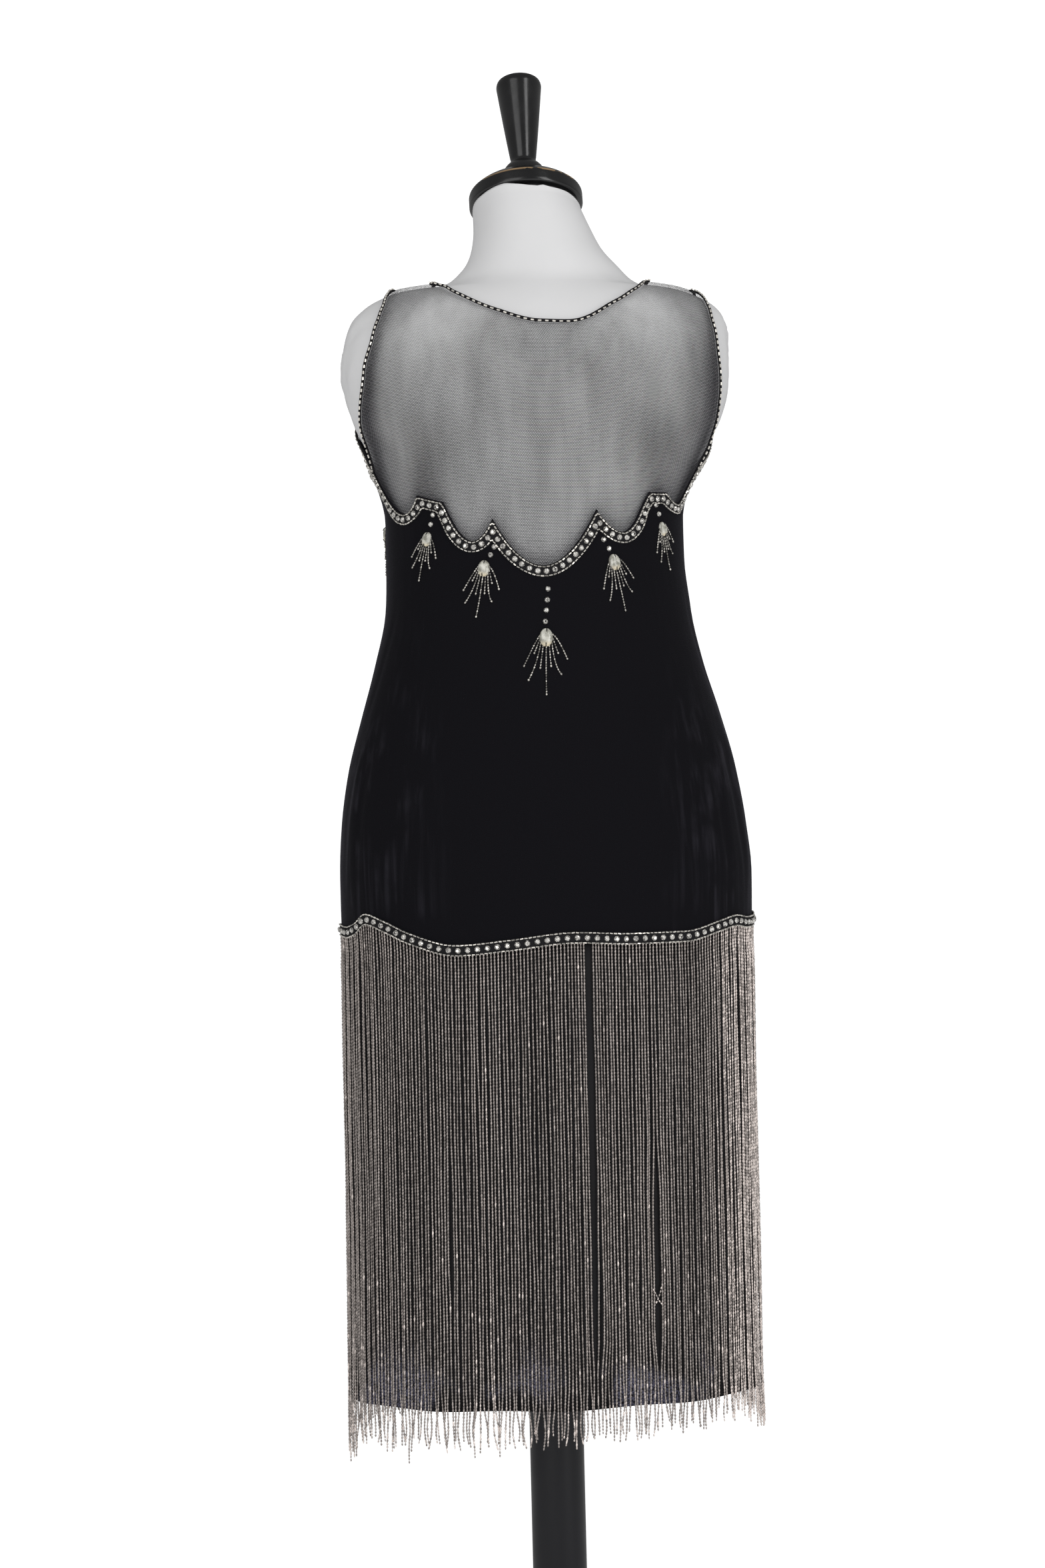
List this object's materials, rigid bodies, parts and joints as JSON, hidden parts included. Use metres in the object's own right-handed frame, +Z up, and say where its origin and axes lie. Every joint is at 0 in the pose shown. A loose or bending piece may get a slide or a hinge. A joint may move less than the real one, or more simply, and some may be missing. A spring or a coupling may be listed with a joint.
{
  "type": "beaded flapper dress on a limbless dress form with stand",
  "caption": "Sleeveless beaded flapper dress, net yoke, scalloped velvet and long bead fringe, worn on a limbless dress form with a pole stand.",
  "frame": {"origin": "middle of the stand base's underside, on the pole's axis", "axes": "+Z up along the pole; the back of the dress faces -Y and the front faces +Y; +X is to the right in a view of the back"},
  "size_m": [0.4, 0.4, 1.6026],
  "materials": {
    "velvet": "matt pile",
    "net": "sheer",
    "underskirt": "matt",
    "beaded_band": "beaded",
    "binding": "beaded",
    "bead_fringe": "lustre",
    "stone": "pearly",
    "jersey": "satin",
    "turned_black": "satin paint",
    "pole_black": "satin"
  },
  "bodies": {
    "root": {"form_torso": "jersey", "neck_cap": "turned_black", "finial": "turned_black", "stand_pole": "pole_black", "stand_base": "turned_black", "yoke_back": "net", "yoke_front": "net", "bodice_back": "velvet", "bodice_front": "velvet", "skirt_back": "underskirt", "skirt_front": "underskirt", "scallop_band_back": "beaded_band", "scallop_band_front": "beaded_band", "hip_band": "beaded_band", "neck_binding": "binding", "armhole_binding_left": "binding", "armhole_binding_right": "binding", "fringe_back": "bead_fringe", "fringe_front": "bead_fringe", "spray_back_1": "stone", "spray_back_2": "stone", "spray_back_3": "stone", "spray_back_4": "stone", "spray_back_5": "stone", "spray_front_1": "stone", "spray_front_2": "stone", "spray_front_3": "stone", "spray_front_4": "stone", "spray_front_5": "stone"}
  },
  "joints": []
}
